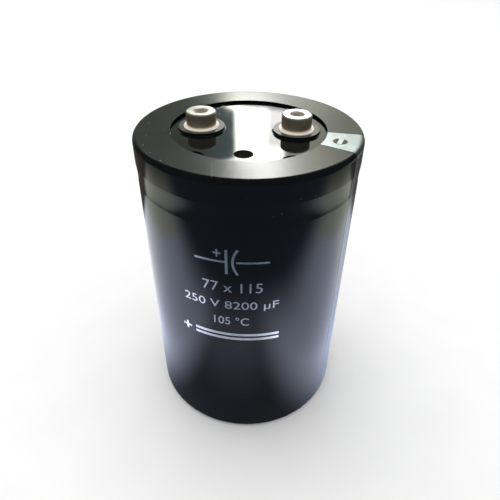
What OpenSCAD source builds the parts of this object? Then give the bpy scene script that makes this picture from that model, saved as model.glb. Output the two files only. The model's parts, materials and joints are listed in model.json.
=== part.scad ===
// Large electrolytic capacitor with two screw terminals, in a sleeved aluminium can.
// The can stands on its closed end: the origin is the centre of that end, +Z is up,
// the terminals lie on X with the positive one on the -X side, and the vent is on -Y.

/* [Can] */
// Outer diameter of the can's wall
can_d = 76; // [74:0.1:78]
// How much wider the can is above its bead, where it is rolled over
rim_extra = 0.4; // [0.2:0.1:1.2]
// Height of the can, from its closed end to the top of the rolled rim
can_h = 114.3; // [100:0.1:140]
// Wall of the can
can_wall = 0.8; // [0.6:0.05:1]
// Thickness of the can's closed end
can_floor = 1.2; // [1:0.1:2]
// Outside radius of the can's bottom corner
can_corner = 1.5; // [1.2:0.1:1.8]

/* [Bead and rim] */
// Depth of the centre of the bead below the top of the rim
bead_drop = 11.5; // [11:0.1:12.5]
// Radius of the bead's groove, on the outside
bead_r = 2.5; // [2:0.1:2.7]
// Radius of the lips where the bead runs into the wall
bead_lip = 1.5; // [1.2:0.1:1.6]
// Outside radius of the bends of the rolled rim
curl_r = 1.5; // [1.2:0.1:1.7]
// Width of the rolled rim, from the outside to the turned-down edge
curl_w = 4.4; // [4:0.1:4.8]
// How far the rim's edge is turned down below its top
curl_drop = 2.6; // [2.2:0.1:3]

/* [Sleeve and bottom disc] */
// Thickness of the sleeve's film
film = 0.3; // [0.2:0.05:0.4]
// Width of the sleeve's flat ring on the top
fold_w = 12.2; // [9:0.1:13]
// Width of the sleeve's fold under the bottom
hem_w = 5; // [4:0.1:8]
// Thickness of the insulating disc under the can
base_disc_t = 0.5; // [0.3:0.1:1]
// Depth to which the sleeve sinks over the bead
sleeve_dip = 0.2; // [0.1:0.05:0.4]

/* [Polarity stripe] */
// Direction of the middle of the stripe, about the can's axis
stripe_az = -16.1; // [-30:0.1:-5]
// Angle that the stripe covers
stripe_span = 22; // [12:0.5:30]
// Thickness of the printed ink
ink = 0.05; // [0.04:0.01:0.08]
// Height of the stripe's lower end above the bottom
stripe_z = 4; // [3:0.5:12]

/* [Deck] */
// Depth of the deck's face below the top of the sleeve
deck_sink = 0.9; // [0.7:0.1:1.4]
// Thickness of the deck's plate
plate_t = 6.5; // [5.5:0.1:7]
// Width of the gasket, from the can's wall to the raised middle of the deck
gasket_w = 4.9; // [4.5:0.1:5.8]
// Thickness of the gasket from the deck's ledge to its own top
gasket_h = 3.4; // [3:0.1:3.8]
// Depth from the top of the rolled rim down to the gasket's own top
gasket_sink = 1.4; // [1.2:0.1:1.6]
// Gap between the deck and the can
deck_gap = 0.1; // [0.05:0.01:0.2]
// Least gap between the deck's skirt and the bead
skirt_gap = 0.3; // [0.2:0.05:0.6]
// Width of the deck's skirt at its lower edge
skirt_w = 2.8; // [2.5:0.1:3.6]
// Height of the deck's skirt below its plate
skirt_h = 3.6; // [3:0.1:4]
// Diameter of the collars moulded round the terminals
collar_d = 15.5; // [14:0.1:17]
// Fillet at the foot of each collar
collar_fillet = 0.4; // [0.2:0.05:0.6]
// Diameter of the bosses under the plate, round the terminals
boss_d = 17; // [16:0.1:18]
// Height of the bosses under the plate
boss_h = 3; // [2:0.1:3.4]
// Thickness of the barrier rib between the bosses
rib_t = 2; // [1.5:0.1:3]
// Gap between that rib and the vent plug's flange
rib_gap = 2; // [1:0.1:4]
// Diameter of the two round recesses near the vent
recess_d = 8.4; // [6:0.1:9]
// Depth of the two round recesses
recess_depth = 1.5; // [1:0.1:2.5]
// Material left between a recess and the edge of the raised middle
recess_margin = 0.5; // [0.3:0.1:1]
// Direction of the vent, about the can's axis
vent_az = -90; // [-110:1:-70]
// Angle from the vent to each recess
recess_az = 34; // [25:0.5:45]

/* [Terminals] */
// Distance between the terminals
pitch = 31.8; // [30:0.1:33]
// Diameter of the posts
post_d = 10; // [9:0.1:11]
// Height of the posts above the top of the sleeve
post_h = 5; // [4:0.1:8]
// Bevel round the post's top
post_bevel = 0.4; // [0.2:0.05:0.7]
// Diameter of the flange at the foot of the posts
flange_d = 12; // [11.6:0.1:13]
// Height of the flange
flange_h = 0.5; // [0.4:0.05:0.8]
// Bevel of the flange's edge
flange_bevel = 0.3; // [0.1:0.05:0.35]
// Diameter of the threaded hole at the crests of its thread
thread_d = 4.2; // [3.8:0.1:5]
// Depth of the threaded hole
thread_depth = 11; // [8:0.5:12]
// Width of the bevel at the hole's mouth
mouth_bevel = 0.45; // [0.3:0.05:0.6]
// Diameter of the shank inside the deck
shank_d = 9; // [8:0.1:9.5]
// Size across the flats of the hexagon that keeps the terminal from turning
hex_af = 11; // [10:0.1:11.4]
// Height of that hexagon
hex_h = 2; // [1.5:0.1:3]
// Depth of the top of that hexagon below the deck's face
hex_drop = 3; // [2.5:0.1:4]

/* [Vent plug] */
// Distance of the vent from the can's axis
vent_r = 19.5; // [18.5:0.1:21]
// Diameter of the vent plug
vent_d = 6; // [5:0.1:7]
// Depth of the plug's face below the deck's face
vent_sink = 0.25; // [0.1:0.05:0.6]
// Thickness of the web that bursts
vent_web = 1; // [0.6:0.1:2]
// Diameter of the hollow under the web
vent_hollow_d = 3; // [2:0.1:4]
// Diameter of the plug's flange under the deck
vent_flange_d = 8.6; // [8:0.1:9.5]
// Thickness of the plug's flange
vent_flange_t = 1.5; // [1:0.1:2]

/* [Winding] */
// Space between the can and the winding with its tape
winding_gap = 2; // [1.6:0.1:3]
// Space between the winding and the deck's skirt
head_room = 11.5; // [10:0.5:20]
// Diameter of the hole that the winding's mandrel leaves
mandrel_d = 8; // [6:0.5:10]
// Thickness of the closing tape
tape_t = 0.2; // [0.1:0.05:0.4]
// Distance of the tape from the winding's ends
tape_margin = 5; // [2:0.5:12]
// Thickness of the discs above and below the winding
spacer_t = 2; // [1:0.1:3]
// Gap between those discs and the can
spacer_gap = 0.9; // [0.8:0.1:1.5]
// Height of the peg that centres the winding
peg_h = 12; // [8:1:20]
// Gap round that peg
peg_gap = 0.2; // [0.1:0.05:0.5]
// Height of the anchoring compound, above the can's floor
compound_h = 32; // [20:1:45]

/* [Tabs and rivets] */
// Thickness of a tab
tab_t = 0.3; // [0.2:0.05:0.35]
// Width of a tab
tab_w = 9; // [8:0.5:10]
// Inside radius of a tab's bend
tab_bend = 1; // [0.5:0.1:1.5]
// Length of a tab past the middle of its rivet
tab_tail = 5; // [4.5:0.1:5.5]
// Gap round each tab in the upper disc
slot_gap = 0.4; // [0.2:0.1:0.6]
// Distance from the rivet to the tab that rises nearest the can's axis
tab_inner = 11; // [10:0.1:12]
// Distance from the rivet to the next tab on that side
tab_middle = 8; // [7.5:0.1:8.5]
// Distance from the rivet to the tab that rises on the outer side
tab_outer = 7.6; // [7:0.1:8]
// Diameter of the rivet tail of a terminal
rivet_d = 5; // [4:0.1:5.5]
// Gap round the rivet tail
rivet_gap = 0.1; // [0.05:0.05:0.2]
// Diameter of the rivet's head
rivet_head_d = 8; // [7:0.1:9]
// Height of the rivet's head
rivet_head_h = 1.2; // [0.8:0.1:1.6]
// Diameter of the washer under the tabs
washer_d = 10; // [9:0.1:11]
// Thickness of that washer
washer_t = 0.8; // [0.5:0.1:1.2]

/* [Hidden] */
$fn = 96;
eps = 0.01;
positive = -1;
negative = 1;
// Segments of the round stretches of an outline
arc_n = 8;
dip_n = 14;

// The can and its sleeve
body_r = can_d / 2;
rim_r = body_r + rim_extra / 2;
can_z = film + base_disc_t;
can_top = can_z + can_h;
top_z = can_top + film;
floor_z = can_z + can_floor;
bore_r = body_r - can_wall;
neck_r = rim_r - can_wall;
bead_z = can_top - bead_drop;
bead_x = (body_r + rim_r) / 2;
// Angles of the bead's lower and upper lip, and how far each reaches from its centre
lip_low_a = acos((bead_x - body_r + bead_lip) / (bead_r + bead_lip));
lip_high_a = acos((bead_x - rim_r + bead_lip) / (bead_r + bead_lip));
lip_low = (bead_r + bead_lip) * sin(lip_low_a);
lip_high = (bead_r + bead_lip) * sin(lip_high_a);
hem_arc = can_z - film + can_corner;
fold_r = rim_r + film - fold_w;
hem_r = body_r + film - hem_w;

// The deck
deck_z = top_z - deck_sink;
plate_z = deck_z - plate_t;
skirt_z = plate_z - skirt_h;
platform_r = neck_r - gasket_w;
deck_r = neck_r - deck_gap;
ledge_z = can_top - gasket_sink - gasket_h;
// The deck's skirt has a 45 degree seat that rests on the round inside of the bead
seat_k = bead_z - bead_x + (bead_r + can_wall + deck_gap / 2) * sqrt(2);
skirt_r = min(skirt_z - seat_k, bead_x - bead_r - can_wall - skirt_gap);
skirt_in = skirt_r - skirt_w;
boss_z = plate_z - boss_h;
recess_r = platform_r - recess_margin - recess_d / 2;

// The winding and what holds it
tape_r = bore_r - winding_gap;
winding_r = tape_r - tape_t;
winding_z = floor_z + spacer_t;
winding_top = skirt_z - head_room;
spacer_r = bore_r - spacer_gap;

// Points of an arc about c, from angle a to angle b
function arc(c, r, a, b, n = arc_n) =
    [for (i = [0:n]) let (t = a + (b - a) * i / n) [c.x + r * cos(t), c.y + r * sin(t)]];

// The same points in the opposite order
function backwards(p) = [for (i = [len(p) - 1:-1:0]) p[i]];

// Radius of the sleeve's inside where it sinks over the bead, t from 0 below to 1 above
function dip(t) = body_r + (rim_r - body_r) * (1 - cos(180 * t)) / 2
    - sleeve_dip * pow(sin(180 * t), 2);

// Outline of the sleeve at a distance s outside the can, from under the can to its top
function sleeve_line(s, z0 = 0, r0 = hem_r, r1 = fold_r) = concat(
    z0 > 0 ? [[body_r + s, z0]] : concat([[r0, film - s]],
        arc([body_r - hem_arc, film + hem_arc], hem_arc + s, -90, 0)),
    [for (i = [0:dip_n])
        [dip(i / dip_n) + s, bead_z - lip_low + (lip_low + lip_high) * i / dip_n]],
    arc([rim_r - curl_r, can_top - curl_r], curl_r + s, 0, 90),
    [[r1, can_top + s]]);

// Outline of the can's bead at a depth s below its outer surface: lower lip, groove, upper lip
function bead_line(s) = concat(
    arc([body_r - bead_lip, bead_z - lip_low], bead_lip - s, 0, lip_low_a),
    arc([bead_x, bead_z], bead_r + s, 180 + lip_low_a, 180 - lip_high_a, 2 * arc_n),
    arc([rim_r - bead_lip, bead_z + lip_high], bead_lip - s, -lip_high_a, 0));

// Outline of the can at a depth s below its outer surface, from its floor to its edge
function can_line(s) = concat(
    arc([body_r - can_corner, can_z + can_corner], can_corner - s, -90, 0),
    bead_line(s),
    arc([rim_r - curl_r, can_top - curl_r], curl_r - s, 0, 90),
    arc([rim_r - curl_w + curl_r, can_top - curl_r], curl_r - s, 90, 180),
    [[rim_r - curl_w + s, can_top - curl_drop]]);

module can() {
    color([0.78, 0.79, 0.8])
    rotate_extrude()
    can_section();
}

module can_section() {
    // The inside starts on the floor, which is thicker than the wall
    inside = can_line(can_wall);
    polygon(concat(
        [[0, can_z]],
        can_line(0),
        backwards([for (p = inside) [p.x, max(p.y, floor_z)]]),
        [[0, floor_z]]));
}

module sleeve() {
    color([0.03, 0.04, 0.05])
    rotate_extrude()
    polygon(concat(sleeve_line(film), backwards(sleeve_line(0))));
}

module polarity_stripe() {
    color([0.72, 0.74, 0.74])
    rotate([0, 0, stripe_az - stripe_span / 2])
    rotate_extrude(angle = stripe_span)
    polygon(concat(sleeve_line(film + ink, stripe_z), backwards(sleeve_line(film, stripe_z))));
}

module bottom_disc() {
    color([0.06, 0.07, 0.08])
    translate([0, 0, film])
    cylinder(h = base_disc_t, r = body_r - hem_arc);
}

module at_terminal(side) {
    translate([side * pitch / 2, 0, 0])
    children();
}

module deck() {
    color([0.02, 0.02, 0.02])
    difference() {
        union() {
            rotate_extrude()
            polygon([[0, plate_z], [skirt_in, plate_z], [skirt_in, skirt_z], [skirt_r, skirt_z],
                [skirt_r, seat_k + skirt_r], [deck_r, seat_k + deck_r], [deck_r, ledge_z],
                [platform_r, ledge_z], [platform_r, deck_z], [0, deck_z]]);
            for (side = [positive, negative]) at_terminal(side) {
                translate([0, 0, deck_z])
                rotate_extrude()
                collar_section();
                translate([0, 0, boss_z])
                cylinder(h = boss_h + eps, d = boss_d);
            }
            barrier_rib();
        }
        for (side = [positive, negative]) at_terminal(side)
            terminal_shank();
        at_vent()
        vent_hole();
        for (side = [-1, 1])
            rotate([0, 0, vent_az + side * recess_az])
            translate([recess_r, 0, deck_z - recess_depth])
            cylinder(h = recess_depth + 1, d = recess_d);
    }
}

// Collar round a terminal, with a fillet at its foot; it starts a little inside the plate
module collar_section() {
    translate([0, -eps])
    square([collar_d / 2, deck_sink + eps]);
    difference() {
        translate([collar_d / 2 - eps, -eps])
        square(collar_fillet + eps);
        translate([collar_d / 2 + collar_fillet, collar_fillet])
        circle(collar_fillet);
    }
}

// Rib that keeps the two sets of tabs apart, from the skirt to short of the vent plug
module barrier_rib() {
    near = -vent_r + vent_flange_d / 2 + rib_gap;
    translate([-rib_t / 2, near, skirt_z])
    cube([rib_t, skirt_in + rib_t / 2 - near, skirt_h + eps]);
}

module at_vent() {
    rotate([0, 0, vent_az])
    translate([vent_r, 0, 0])
    children();
}

module vent_hole() {
    translate([0, 0, plate_z - 1])
    cylinder(h = plate_t + 2, d = vent_d);
}

module deck_gasket() {
    color([0.1, 0.1, 0.1])
    rotate_extrude()
    difference() {
        translate([platform_r, ledge_z])
        square([neck_r - platform_r, gasket_h]);
        can_section();
    }
}

// The part of a terminal that the deck is moulded round
module terminal_shank() {
    translate([0, 0, boss_z])
    cylinder(h = top_z - boss_z, d = shank_d);
    translate([0, 0, deck_z - hex_drop - hex_h])
    cylinder(h = hex_h, d = hex_af / cos(30), $fn = 6);
}

module terminal_post() {
    rotate_extrude()
    polygon([[0, 0], [flange_d / 2, 0], [flange_d / 2, flange_h - flange_bevel],
        [flange_d / 2 - flange_bevel, flange_h], [post_d / 2, flange_h],
        [post_d / 2, post_h - post_bevel], [post_d / 2 - post_bevel, post_h], [0, post_h]]);
}

module threaded_hole() {
    tip = thread_d / 2 / tan(59);
    translate([0, 0, -thread_depth])
    cylinder(h = thread_depth + 1, d = thread_d);
    translate([0, 0, -thread_depth - tip])
    cylinder(h = tip, d1 = 0, d2 = thread_d);
    translate([0, 0, -mouth_bevel])
    cylinder(h = 1, r1 = thread_d / 2, r2 = thread_d / 2 + 1);
}

// Tail that goes down through the tabs and the washer, and its domed head
module rivet_tail() {
    length = 3 * tab_t + washer_t;
    dome_r = (pow(rivet_head_d / 2, 2) + pow(rivet_head_h, 2)) / (2 * rivet_head_h);
    reach = asin(rivet_head_d / 2 / dome_r);
    translate([0, 0, -length - eps])
    cylinder(h = length + 2 * eps, d = rivet_d);
    translate([0, 0, -length])
    rotate_extrude()
    polygon(concat([[0, 0]],
        arc([0, dome_r - rivet_head_h], dome_r, -90 + reach, -90, arc_n)));
}

module terminal(side) {
    color([0.8, 0.78, 0.74])
    at_terminal(side)
    difference() {
        union() {
            translate([0, 0, top_z])
            terminal_post();
            terminal_shank();
            translate([0, 0, boss_z])
            rivet_tail();
        }
        translate([0, 0, top_z + post_h])
        threaded_hole();
    }
}

module positive_terminal() {
    terminal(positive);
}

module negative_terminal() {
    terminal(negative);
}

module vent_plug() {
    face_z = deck_z - vent_sink;
    color([0.05, 0.05, 0.05])
    at_vent()
    difference() {
        union() {
            translate([0, 0, plate_z])
            cylinder(h = face_z - plate_z, d = vent_d);
            translate([0, 0, plate_z - vent_flange_t])
            cylinder(h = vent_flange_t, d = vent_flange_d);
        }
        translate([0, 0, plate_z - vent_flange_t - 1])
        cylinder(h = face_z - vent_web - plate_z + vent_flange_t + 1, d = vent_hollow_d);
    }
}

module winding() {
    color([0.72, 0.68, 0.6])
    translate([0, 0, winding_z])
    difference() {
        cylinder(h = winding_top - winding_z, r = winding_r);
        translate([0, 0, -1])
        cylinder(h = winding_top - winding_z + 2, d = mandrel_d);
    }
}

module closing_tape() {
    color([0.85, 0.75, 0.45])
    translate([0, 0, winding_z + tape_margin])
    difference() {
        cylinder(h = winding_top - winding_z - 2 * tape_margin, r = tape_r);
        translate([0, 0, -1])
        cylinder(h = winding_top - winding_z + 2, r = winding_r);
    }
}

module lower_spacer() {
    color([0.9, 0.9, 0.88])
    translate([0, 0, floor_z]) {
        cylinder(h = spacer_t, r = spacer_r);
        cylinder(h = spacer_t + peg_h, d = mandrel_d - 2 * peg_gap);
    }
}

module upper_spacer() {
    color([0.9, 0.9, 0.88])
    difference() {
        translate([0, 0, winding_top])
        cylinder(h = spacer_t, r = spacer_r);
        for (side = [positive, negative], rise = [-tab_inner, -tab_middle, tab_outer])
            translate([side * (pitch / 2 + rise) - tab_t / 2 - slot_gap,
                -tab_w / 2 - slot_gap, winding_top - 1])
            cube([tab_t + 2 * slot_gap, tab_w + 2 * slot_gap, spacer_t + 2]);
    }
}

// Compound poured round the foot of the winding
module anchoring_compound() {
    color([0.12, 0.1, 0.08])
    rotate_extrude()
    difference() {
        translate([0, floor_z])
        square([bore_r, compound_h]);
        can_section();
        square([spacer_r, winding_z]);
        square([winding_r, winding_z + tape_margin]);
        square([tape_r, winding_top]);
    }
}

// A tab rises from the winding at a distance from its rivet, bends over and ends past
// the rivet. Level 0 lies against the terminal, and each next level lies under the last.
module tab(side, rise, level) {
    over = rise > 0 ? -1 : 1;
    top = boss_z - level * tab_t;
    bend = tab_bend + tab_t;
    reach = abs(rise) + tab_t / 2;
    color([0.82, 0.82, 0.83])
    at_terminal(side)
    mirror([side == over ? 0 : 1, 0, 0])
    translate([-reach, 0, 0])
    difference() {
        translate([0, tab_w / 2, 0])
        rotate([90, 0, 0])
        linear_extrude(tab_w)
        tab_section(top, bend, reach);
        translate([reach, 0, top - 1])
        cylinder(h = 2, d = rivet_d + 2 * rivet_gap);
    }
}

module tab_section(top, bend, reach) {
    translate([0, winding_top])
    square([tab_t, top - bend - winding_top]);
    translate([bend, top - tab_t])
    square([reach + tab_tail - bend, tab_t]);
    intersection() {
        translate([bend, top - bend])
        difference() {
            circle(bend);
            circle(tab_bend);
        }
        translate([0, top - bend])
        square(bend);
    }
}

module positive_tab_inner() {
    tab(positive, -tab_inner, 0);
}

module positive_tab_middle() {
    tab(positive, -tab_middle, 1);
}

module positive_tab_outer() {
    tab(positive, tab_outer, 2);
}

module negative_tab_inner() {
    tab(negative, -tab_inner, 0);
}

module negative_tab_middle() {
    tab(negative, -tab_middle, 1);
}

module negative_tab_outer() {
    tab(negative, tab_outer, 2);
}

module washer(side) {
    color([0.8, 0.8, 0.8])
    at_terminal(side)
    translate([0, 0, boss_z - 3 * tab_t - washer_t])
    difference() {
        cylinder(h = washer_t, d = washer_d);
        translate([0, 0, -1])
        cylinder(h = washer_t + 2, d = rivet_d + 2 * rivet_gap);
    }
}

module positive_washer() {
    washer(positive);
}

module negative_washer() {
    washer(negative);
}

can();
sleeve();
polarity_stripe();
bottom_disc();
deck();
deck_gasket();
positive_terminal();
negative_terminal();
vent_plug();
winding();
closing_tape();
lower_spacer();
upper_spacer();
anchoring_compound();
positive_tab_inner();
positive_tab_middle();
positive_tab_outer();
negative_tab_inner();
negative_tab_middle();
negative_tab_outer();
positive_washer();
negative_washer();
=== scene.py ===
"""Looks of a screw-terminal electrolytic capacitor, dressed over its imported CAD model.

The shrink sleeve and its printed stripe are turned here on fine outlines, the terminals
get their screw threads, and a plain rating is printed round the front of the sleeve.
Everything else is the CAD model's own shape with a finish of its own.
"""

from __future__ import annotations

import json
import logging
import math
from contextlib import contextmanager
from dataclasses import dataclass, field
from enum import Enum
from functools import reduce
from typing import Callable, Iterable, Iterator, NamedTuple, Sequence

import bpy
from mathutils import Euler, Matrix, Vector

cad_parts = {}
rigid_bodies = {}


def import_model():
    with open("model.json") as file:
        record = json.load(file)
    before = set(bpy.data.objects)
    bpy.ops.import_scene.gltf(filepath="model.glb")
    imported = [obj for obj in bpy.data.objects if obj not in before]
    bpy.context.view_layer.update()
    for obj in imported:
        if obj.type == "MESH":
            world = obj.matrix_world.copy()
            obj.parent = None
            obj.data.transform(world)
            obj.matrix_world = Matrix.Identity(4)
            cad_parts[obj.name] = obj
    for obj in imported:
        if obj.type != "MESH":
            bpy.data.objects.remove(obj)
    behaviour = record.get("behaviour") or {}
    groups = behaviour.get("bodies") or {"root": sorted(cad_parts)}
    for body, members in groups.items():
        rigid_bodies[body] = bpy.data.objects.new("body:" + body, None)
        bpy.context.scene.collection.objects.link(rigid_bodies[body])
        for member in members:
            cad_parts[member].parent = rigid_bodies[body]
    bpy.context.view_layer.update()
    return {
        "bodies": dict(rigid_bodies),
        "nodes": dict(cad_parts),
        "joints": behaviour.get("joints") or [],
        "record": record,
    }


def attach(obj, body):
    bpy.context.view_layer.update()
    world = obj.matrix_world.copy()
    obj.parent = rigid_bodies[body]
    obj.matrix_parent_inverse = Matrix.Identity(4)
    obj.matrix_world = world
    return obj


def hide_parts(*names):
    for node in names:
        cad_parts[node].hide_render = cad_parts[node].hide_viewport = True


LOG = logging.getLogger("capacitor")
MM = 0.001
BODY = "root"
MERGE = 0.0005
CLOSE_MERGE = 0.0002
SPIN_AXIS = (0, 0, -1)

Outline = list[tuple[float, float]]
Colour = tuple[float, float, float]
Edge = tuple[float, float]
Stroke = tuple[float, float, float, float]
Bar = tuple[float, float, float, float]

BLACK: Colour = (0.0, 0.0, 0.0)
WHITE: Colour = (1.0, 1.0, 1.0)


# ---------------------------------------------------------------- modelling helpers


def arc(centre: tuple[float, float], radius: float, start: float, end: float,
        steps: int) -> Outline:
    """Points of an arc.

    Args:
        centre: Radius and height of the arc's centre, in millimetres.
        radius: Radius of the arc, in millimetres.
        start: First angle, in degrees.
        end: Last angle, in degrees.
        steps: Number of steps between them.

    Returns:
        The points from the first angle to the last.
    """
    angles = [math.radians(start + (end - start) * i / steps) for i in range(steps + 1)]
    return [(centre[0] + radius * math.cos(a), centre[1] + radius * math.sin(a)) for a in angles]


def direction(turn: float) -> Vector:
    """The level direction at an angle in radians."""
    return Vector((math.cos(turn), math.sin(turn), 0))


def deselect_all() -> None:
    """Leaves object mode with nothing selected."""
    if bpy.context.object is not None and bpy.context.object.mode != "OBJECT":
        bpy.ops.object.mode_set(mode="OBJECT")
    bpy.ops.object.select_all(action="DESELECT")


def make_active(piece: bpy.types.Object) -> None:
    """Selects one piece alone and makes it the active object.

    Args:
        piece: The piece.
    """
    deselect_all()
    piece.select_set(True)
    bpy.context.view_layer.objects.active = piece


@contextmanager
def edit_mode() -> Iterator[None]:
    """Edit mode on the active piece, all of it selected, and object mode afterwards.

    Yields:
        Nothing.
    """
    bpy.ops.object.mode_set(mode="EDIT")
    bpy.ops.mesh.select_all(action="SELECT")
    yield
    bpy.ops.object.mode_set(mode="OBJECT")


def tidy_mesh(piece: bpy.types.Object, merge: float = MERGE) -> None:
    """Merges a piece's doubles and turns its faces outwards.

    Args:
        piece: The piece.
        merge: Distance under which points are merged, in millimetres.
    """
    make_active(piece)
    with edit_mode():
        bpy.ops.mesh.remove_doubles(threshold=merge * MM)
        bpy.ops.mesh.normals_make_consistent(inside=False)


def settle_place() -> None:
    """Puts the active piece's place, turn and scale into its mesh."""
    bpy.ops.object.transform_apply(location=True, rotation=True, scale=True)


def settle(piece: bpy.types.Object, angle: float = 40) -> None:
    """Puts a piece's place into its mesh and smooths its shading.

    Args:
        piece: The piece.
        angle: Edges sharper than this stay sharp, in degrees.
    """
    make_active(piece)
    settle_place()
    bpy.ops.object.shade_smooth_by_angle(angle=math.radians(angle))


def apply_modifier(piece: bpy.types.Object, kind: str, **settings: object) -> None:
    """Adds a modifier to a piece and applies it.

    Args:
        piece: The piece.
        kind: The modifier's type, such as BEVEL.
        **settings: Values for the modifier.
    """
    make_active(piece)
    modifier = piece.modifiers.new(kind.title(), kind)
    for name, value in settings.items():
        setattr(modifier, name, value)
    bpy.ops.object.modifier_apply(modifier=modifier.name)


def turned(outline: Outline, steps: int, start: float = 0,
           sweep: float = 360) -> bpy.types.Object:
    """Spins a closed outline about the can's axis.

    Args:
        outline: Radius and height of each point, in millimetres.
        steps: Number of steps of the spin.
        start: Direction where the spin starts, in degrees.
        sweep: Angle of the spin, in degrees.

    Returns:
        The turned piece, closed and with its faces outwards.
    """
    out = direction(math.radians(start))
    points = [(out * r + Vector((0, 0, z))) * MM for r, z in outline]
    deselect_all()
    bpy.ops.mesh.primitive_plane_add(size=MM)
    with edit_mode():
        bpy.ops.mesh.merge(type="CENTER")
        bpy.ops.transform.translate(value=points[0])
        for here, there in zip(points, points[1:] + points[:1]):
            bpy.ops.mesh.extrude_vertices_move(TRANSFORM_OT_translate={"value": there - here})
        bpy.ops.mesh.select_all(action="SELECT")
        bpy.ops.mesh.remove_doubles(threshold=CLOSE_MERGE * MM)
        bpy.ops.mesh.spin(steps=steps, angle=math.radians(sweep), center=(0, 0, 0), axis=SPIN_AXIS)
        bpy.ops.mesh.select_all(action="SELECT")
        bpy.ops.mesh.remove_doubles(threshold=MERGE * MM)
        if sweep < 360:
            bpy.ops.mesh.select_all(action="DESELECT")
            bpy.ops.mesh.select_non_manifold()
            bpy.ops.mesh.fill_holes(sides=0)
            bpy.ops.mesh.select_all(action="SELECT")
        bpy.ops.mesh.normals_make_consistent(inside=False)
    return bpy.context.object


def joined(pieces: Sequence[bpy.types.Object]) -> bpy.types.Object:
    """Joins loose pieces into the first of them.

    Args:
        pieces: The pieces.

    Returns:
        The first one, with the others in it.
    """
    make_active(pieces[0])
    for other in pieces[1:]:
        other.select_set(True)
    bpy.ops.object.join()
    return bpy.context.view_layer.objects.active


def mesh_span(piece: bpy.types.Object) -> tuple[Vector, Vector]:
    """Lowest and highest corner of a piece's own mesh."""
    corners = [vertex.co for vertex in piece.data.vertices]
    return Vector(map(min, zip(*corners))), Vector(map(max, zip(*corners)))


# ---------------------------------------------------------------- shader helpers


def rgba(colour: Colour) -> tuple[float, float, float, float]:
    """A colour with full alpha."""
    return (*colour, 1.0)


@dataclass
class Nodes:
    """Builds a node tree in short steps. A value is a number, a colour or an output socket.

    Attributes:
        tree: The tree that the nodes go into.
    """

    tree: bpy.types.NodeTree

    def add(self, kind: str, inputs: dict[str | int, object] | None = None,
            **settings: object) -> bpy.types.Node:
        """Adds a node.

        Args:
            kind: The node's type, without the words ShaderNode.
            inputs: The value of each input, by name or number.
            **settings: Properties of the node.

        Returns:
            The node.
        """
        node = self.tree.nodes.new("ShaderNode" + kind)
        for name, value in settings.items():
            setattr(node, name, value)
        for name, value in (inputs or {}).items():
            self.feed(node.inputs[name], value)
        return node

    def feed(self, socket: bpy.types.NodeSocket, value: object) -> None:
        """Links an output socket to an input, or sets the input's value.

        Args:
            socket: The input.
            value: Its value.
        """
        if isinstance(value, bpy.types.NodeSocket):
            self.tree.links.new(value, socket)
        else:
            socket.default_value = value

    def math(self, operation: str, *values: object) -> bpy.types.NodeSocket:
        """Adds a math node.

        Args:
            operation: The node's operation.
            *values: The values of its inputs.

        Returns:
            Its output.
        """
        node = self.add("Math", operation=operation)
        for socket, value in zip(node.inputs, values):
            self.feed(socket, value)
        return node.outputs[0]

    def chain(self, operation: str, values: Sequence[object]) -> object:
        """Applies a math node to two values, then to its result and the next value."""
        return reduce(lambda first, second: self.math(operation, first, second), values)

    def times(self, *values: object) -> object:
        """The product of the values."""
        return self.chain("MULTIPLY", values)

    def plus(self, *values: object) -> object:
        """The sum of the values."""
        return self.chain("ADD", values)

    def most(self, *values: object) -> object:
        """The greatest of the values."""
        return self.chain("MAXIMUM", values)

    def minus(self, first: object, second: object) -> object:
        """The first value less the second."""
        return self.math("SUBTRACT", first, second)

    def reach(self, x: object, y: object) -> object:
        """Length of the way (x, y)."""
        return self.math("SQRT", self.plus(self.times(x, x), self.times(y, y)))

    def degrees(self, y: object, x: object) -> object:
        """Angle of the way (x, y), in degrees."""
        return self.times(self.math("ARCTAN2", y, x), 180 / math.pi)

    def span(self, value: object, low: float, high: float, to_low: float = 0,
             to_high: float = 1) -> bpy.types.NodeSocket:
        """Maps a value from one span to another, with a smooth start and end.

        Args:
            value: The value that is mapped.
            low: Where the first span starts.
            high: Where it ends.
            to_low: The result at the start.
            to_high: The result at the end.

        Returns:
            The result's socket.
        """
        inputs = {"Value": value, "From Min": low, "From Max": high,
                  "To Min": to_low, "To Max": to_high}
        return self.add("MapRange", inputs, interpolation_type="SMOOTHSTEP").outputs["Result"]

    def blend(self, amount: object, first: object, second: object) -> bpy.types.NodeSocket:
        """Mixes two colours.

        Args:
            amount: Share of the second colour.
            first: The first colour.
            second: The second colour.

        Returns:
            The mixed colour's socket.
        """
        node = self.add("Mix", data_type="RGBA")
        amount_in, first_in, second_in = node.inputs[0], node.inputs[6], node.inputs[7]
        self.feed(amount_in, amount)
        for socket, value in ((first_in, first), (second_in, second)):
            self.feed(socket, rgba(value) if isinstance(value, tuple) else value)
        return node.outputs[2]

    def ramp(self, value: object, first: object, *steps: LightStep) -> object:
        """A colour that changes in steps as a value grows.

        Args:
            value: The value.
            first: The colour before the first step.
            *steps: The steps.

        Returns:
            The colour's socket.
        """
        for step in steps:
            first = self.blend(self.span(value, *step.edge), first, step.light)
        return first

    def coordinates(self) -> bpy.types.NodeSocket:
        """The piece's Object coordinates."""
        return self.add("TexCoord").outputs["Object"]

    def parts(self, vector: object) -> Sequence[bpy.types.NodeSocket]:
        """The X, Y and Z of a vector."""
        return self.add("SeparateXYZ", {"Vector": vector}).outputs


class LightStep(NamedTuple):
    """A step from one light to the next.

    Attributes:
        edge: Where the change starts and ends.
        light: The light after it.
    """

    edge: Edge
    light: Colour


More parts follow.
